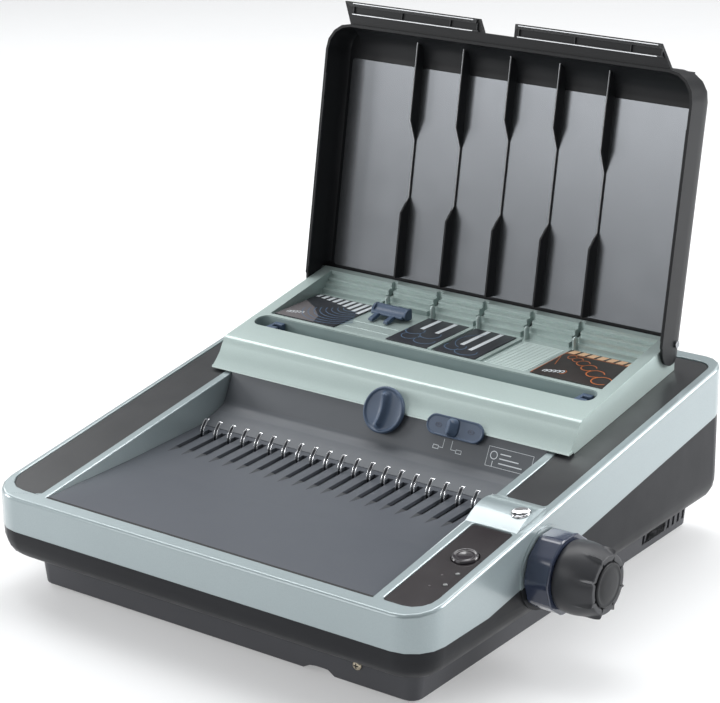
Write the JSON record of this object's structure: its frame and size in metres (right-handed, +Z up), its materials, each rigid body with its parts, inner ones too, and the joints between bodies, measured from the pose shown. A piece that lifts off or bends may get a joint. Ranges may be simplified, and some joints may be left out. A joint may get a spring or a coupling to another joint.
{
  "type": "comb binding machine",
  "caption": "Desktop electric punch and comb binder: wedge-shaped silver frame, comb opener hooks, comb tray, side knob and hinged black lid.",
  "frame": {"origin": "middle of the object's bounding box in plan, on the surface that its rubber feet stand on", "axes": "+X along the comb towards the knob, +Y from the front edge to the back, +Z up"},
  "size_m": [0.4788, 0.451, 0.4088],
  "materials": {
    "casing_black": "fine matte texture",
    "frame_silver": "satin silver paint",
    "tray_silver": "satin green-silver paint",
    "table_grey": "fine matte texture",
    "fascia_grey": "satin",
    "trough_black": "satin",
    "panel_gloss": "high gloss",
    "lid_black": "high gloss",
    "slate_blue": "satin",
    "ring_navy": "satin",
    "knob_black": "satin",
    "chrome": "polished",
    "steel": "brushed",
    "rubber": "matte",
    "label_cool": "satin print",
    "label_warm": "satin print",
    "board": "satin",
    "winding": "satin",
    "led": "clear",
    "gear_white": "satin"
  },
  "bodies": {
    "housing": {"base_plinth": "casing_black", "lower_casing": "casing_black", "top_frame": "frame_silver", "trough_liner_left": "trough_black", "trough_liner_right": "trough_black", "control_panel": "panel_gloss", "foot_front_left": "rubber", "foot_rear_left": "rubber", "foot_front_right": "rubber", "foot_rear_right": "rubber", "front_screw": "steel", "work_table": "table_grey", "hook_guide": "fascia_grey", "fascia_panel": "fascia_grey", "margin_plate": "slate_blue", "comb_tray": "tray_silver", "size_label_left": "label_cool", "size_label_mid_left": "label_cool", "size_label_mid_right": "label_cool", "size_label_right": "label_warm", "edge_guide_right": "slate_blue", "hinge_pin_left": "steel", "hinge_pin_right": "steel", "shaft_bracket_left": "steel", "shaft_bracket_right": "steel", "led_ready": "led", "led_check": "led", "bridge_window": "chrome", "chassis_plate": "steel", "die_plate_front": "steel", "die_plate_rear": "steel", "side_plate_left": "steel", "side_plate_right": "steel", "motor": "steel", "circuit_board": "board", "transformer": "winding", "mains_inlet": "rubber"},
    "lid": {"lid_shell": "lid_black"},
    "comb_drive": {"comb_shaft": "steel", "comb_pinion_left": "steel", "comb_pinion_right": "steel", "comb_knob": "knob_black", "knob_cap": "knob_black"},
    "stop_ring": {"stop_ring": "ring_navy"},
    "hook_bar": {"hook_bar": "chrome"},
    "depth_dial": {"depth_dial": "slate_blue"},
    "margin_slider": {"margin_slider": "slate_blue"},
    "edge_guide": {"edge_guide_left": "slate_blue"},
    "thickness_gauge": {"thickness_gauge": "slate_blue"},
    "punch_button": {"punch_button": "panel_gloss"},
    "power_switch": {"power_switch": "rubber"},
    "chip_drawer": {"chip_drawer": "casing_black"},
    "cam": {"cam_shaft": "steel", "drive_gear": "gear_white"},
    "rotor": {"motor_rotor": "steel"},
    "punch_bar": {"punch_bar": "steel"}
  },
  "joints": [
    {"name": "lid_hinge", "type": "hinge", "parent": "housing", "child": "lid", "pos_m": [-0.0291, 0.17641, 0.16901], "axis": [1, 0, 0], "range_deg": [0, 108.6]},
    {"name": "comb_knob_turn", "type": "hinge", "parent": "housing", "child": "comb_drive", "pos_m": [0.2209, -0.06727, 0.0694], "axis": [1, 0, 0], "range_deg": [0, 190]},
    {"name": "hook_bar_slide", "type": "slide", "parent": "housing", "child": "hook_bar", "axis": [0, -1, 0], "range_m": [0, 0.03]},
    {"name": "stop_ring_turn", "type": "hinge", "parent": "housing", "child": "stop_ring", "pos_m": [0.1929, -0.06727, 0.0694], "axis": [1, 0, 0], "range_deg": [-20, 200]},
    {"name": "depth_dial_turn", "type": "hinge", "parent": "housing", "child": "depth_dial", "pos_m": [-0.0245, 0.01921, 0.12196], "axis": [0, -0.8944, 0.4472], "range_deg": [-100, 100]},
    {"name": "margin_slide", "type": "slide", "parent": "housing", "child": "margin_slider", "axis": [1, 0, 0], "range_m": [-0.01, 0.01]},
    {"name": "edge_guide_slide", "type": "slide", "parent": "housing", "child": "edge_guide", "axis": [1, 0, 0], "range_m": [-0.01, 0.01]},
    {"name": "thickness_gauge_slide", "type": "slide", "parent": "housing", "child": "thickness_gauge", "axis": [0, -1, 0], "range_m": [0, 0.026]},
    {"name": "punch_button_press", "type": "slide", "parent": "housing", "child": "punch_button", "axis": [0, -0.1448, 0.9895], "range_m": [-0.0025, 0], "stiffness_N_per_m": 300},
    {"name": "power_switch_rock", "type": "hinge", "parent": "housing", "child": "power_switch", "pos_m": [-0.1291, 0.20913, 0.044], "axis": [1, 0, 0], "range_deg": [0, 14]},
    {"name": "chip_drawer_slide", "type": "slide", "parent": "housing", "child": "chip_drawer", "axis": [-1, 0, 0], "range_m": [0, 0.27]},
    {"name": "cam_spin", "type": "hinge", "parent": "housing", "child": "cam", "pos_m": [-0.0291, 0.11113, 0.114], "axis": [1, 0, 0], "continuous": true},
    {"name": "rotor_spin", "type": "hinge", "parent": "housing", "child": "rotor", "pos_m": [-0.0291, 0.14313, 0.09], "axis": [1, 0, 0], "continuous": true},
    {"name": "punch_bar_slide", "type": "slide", "parent": "housing", "child": "punch_bar", "axis": [0, -1, 0], "range_m": [0, 0.0065]}
  ],
  "couplings": [
    {"joint": "hook_bar_slide", "follows": "comb_knob_turn", "m_per_rad": 0.009},
    {"joint": "edge_guide_slide", "follows": "margin_slide", "ratio": 1},
    {"joint": "rotor_spin", "follows": "cam_spin", "ratio": -3}
  ]
}
